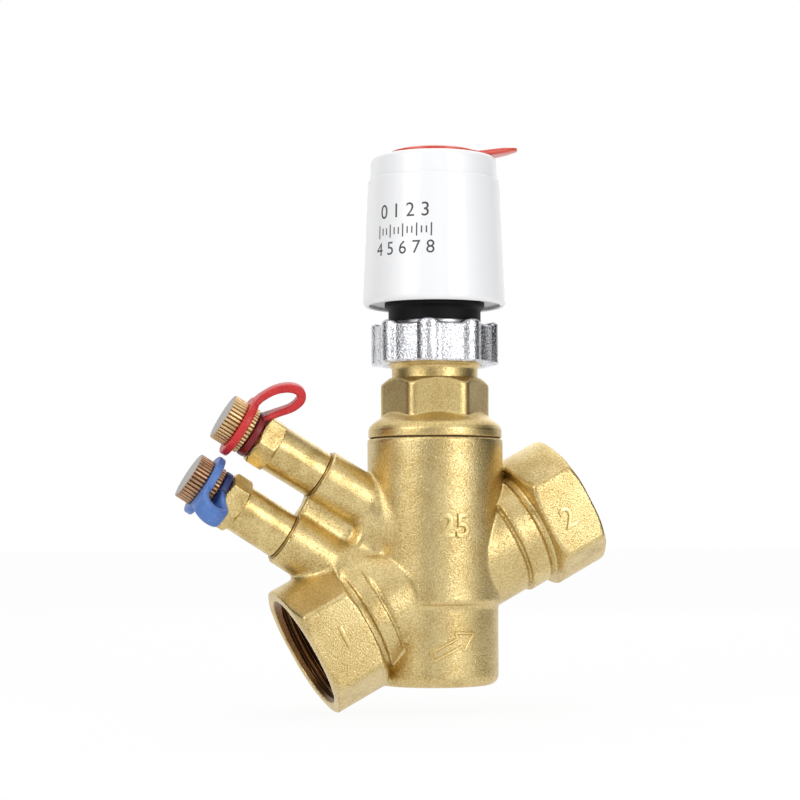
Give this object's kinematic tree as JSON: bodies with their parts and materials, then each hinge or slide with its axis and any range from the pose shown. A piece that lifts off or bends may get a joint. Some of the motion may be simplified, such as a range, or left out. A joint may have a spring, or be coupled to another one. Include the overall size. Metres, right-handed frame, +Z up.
{
  "type": "pressure independent control valve",
  "caption": "Brass control valve with slanted threaded ports, strapped test plugs, a pressure regulator inside and a thermal actuator on a union nut.",
  "frame": {"origin": "point where the ports' common axis crosses the stem's axis", "axes": "+Z up the stem's axis towards the actuator; the ports' axis lies in the XZ plane, the inlet on the -X side and low, the outlet on the +X side and high"},
  "size_m": [0.1286, 0.0436, 0.1678],
  "materials": {
    "cast_brass": "shot-blasted",
    "turned_brass": "turned",
    "bronze": "knurled",
    "bright_metal": "textured",
    "steel": "plain",
    "white_plastic": "glossy",
    "black_plastic": "matte",
    "red_plastic": "satin",
    "inner_plastic": "matte",
    "fibre": "matte",
    "seal_rubber": "matte",
    "red_strap": "satin",
    "blue_strap": "satin"
  },
  "bodies": {
    "valve_body": {"body_casting": "cast_brass", "bonnet": "turned_brass", "bonnet_gasket": "fibre", "bonnet_oring": "seal_rubber", "seat_ring": "turned_brass", "regulator_guide": "inner_plastic", "diaphragm": "seal_rubber", "diaphragm_clamp": "inner_plastic", "regulator_spring": "steel", "spindle_seal": "seal_rubber", "test_plug_upper": "turned_brass", "test_plug_lower": "turned_brass", "plug_core_upper": "seal_rubber", "plug_core_lower": "seal_rubber", "plug_washer_upper": "fibre", "plug_washer_lower": "fibre", "strap_red": "red_strap", "strap_blue": "blue_strap"},
    "regulator": {"regulator_cup": "steel"},
    "preset": {"preset_spindle": "turned_brass", "preset_dial": "white_plastic", "preset_sleeve": "inner_plastic", "stem_seal": "seal_rubber", "return_spring": "steel"},
    "stem_body": {"stem": "steel", "control_plug": "steel", "plug_seal": "seal_rubber"},
    "actuator": {"adapter_sleeve": "steel", "actuator_collar": "black_plastic", "base_plate": "white_plastic", "reaction_bridge": "steel", "closing_spring": "steel", "housing": "white_plastic", "top_cover": "white_plastic", "lever_pin": "black_plastic", "cable_inlet": "black_plastic"},
    "nut": {"union_nut": "bright_metal"},
    "plunger_body": {"plunger": "inner_plastic", "wax_element": "turned_brass", "heater_disc": "steel"},
    "lever_body": {"lever": "red_plastic"},
    "upper_ring": {"strap_red_ring": "red_strap"},
    "upper_cap": {"cap_upper": "bronze"},
    "lower_ring": {"strap_blue_ring": "blue_strap"},
    "lower_cap": {"cap_lower": "bronze"}
  },
  "joints": [
    {"name": "nut_turn", "type": "hinge", "parent": "actuator", "child": "nut", "pos_m": [0, 0, 0.0702], "axis": [0, 0, 1], "range_deg": [0, 1440]},
    {"name": "actuator_lift", "type": "slide", "parent": "valve_body", "child": "actuator", "axis": [0, 0, 1], "range_m": [0, 0.006]},
    {"name": "plunger_lift", "type": "slide", "parent": "actuator", "child": "plunger_body", "axis": [0, 0, 1], "range_m": [0, 0.004], "stiffness_N_per_m": 2000, "springref_m": -0.01, "deforming": ["closing_spring"]},
    {"name": "stem_lift", "type": "slide", "parent": "valve_body", "child": "stem_body", "axis": [0, 0, 1], "range_m": [0, 0.004], "deforming": ["return_spring"]},
    {"name": "regulator_lift", "type": "slide", "parent": "valve_body", "child": "regulator", "axis": [0, 0, 1], "range_m": [0, 0.003], "stiffness_N_per_m": 500, "springref_m": -0.004, "deforming": ["regulator_spring", "diaphragm"]},
    {"name": "preset_turn", "type": "hinge", "parent": "valve_body", "child": "preset", "pos_m": [0, 0, 0.0702], "axis": [0, 0, 1], "range_deg": [0, 300]},
    {"name": "lever_turn", "type": "hinge", "parent": "actuator", "child": "lever_body", "pos_m": [0, 0, 0.1237], "axis": [0, 0, 1], "range_deg": [0, 90]},
    {"name": "upper_cap_turn", "type": "hinge", "parent": "upper_ring", "child": "upper_cap", "pos_m": [-0.03514, 0, 0.02962], "axis": [-0.8572, 0, 0.515], "range_deg": [0, 2160]},
    {"name": "upper_cap_lift", "type": "slide", "parent": "valve_body", "child": "upper_ring", "axis": [-0.8572, 0, 0.515], "range_m": [0, 0.006]},
    {"name": "lower_cap_turn", "type": "hinge", "parent": "lower_ring", "child": "lower_cap", "pos_m": [-0.04566, 0, 0.0119], "axis": [-0.8425, 0, 0.5388], "range_deg": [0, 2160]},
    {"name": "lower_cap_lift", "type": "slide", "parent": "valve_body", "child": "lower_ring", "axis": [-0.8425, 0, 0.5388], "range_m": [0, 0.006]}
  ],
  "couplings": [
    {"joint": "nut_turn", "follows": "actuator_lift", "rad_per_m": 4188.8},
    {"joint": "stem_lift", "follows": "plunger_lift", "ratio": 1},
    {"joint": "upper_cap_turn", "follows": "upper_cap_lift", "rad_per_m": 6283.2},
    {"joint": "lower_cap_turn", "follows": "lower_cap_lift", "rad_per_m": 6283.2}
  ]
}
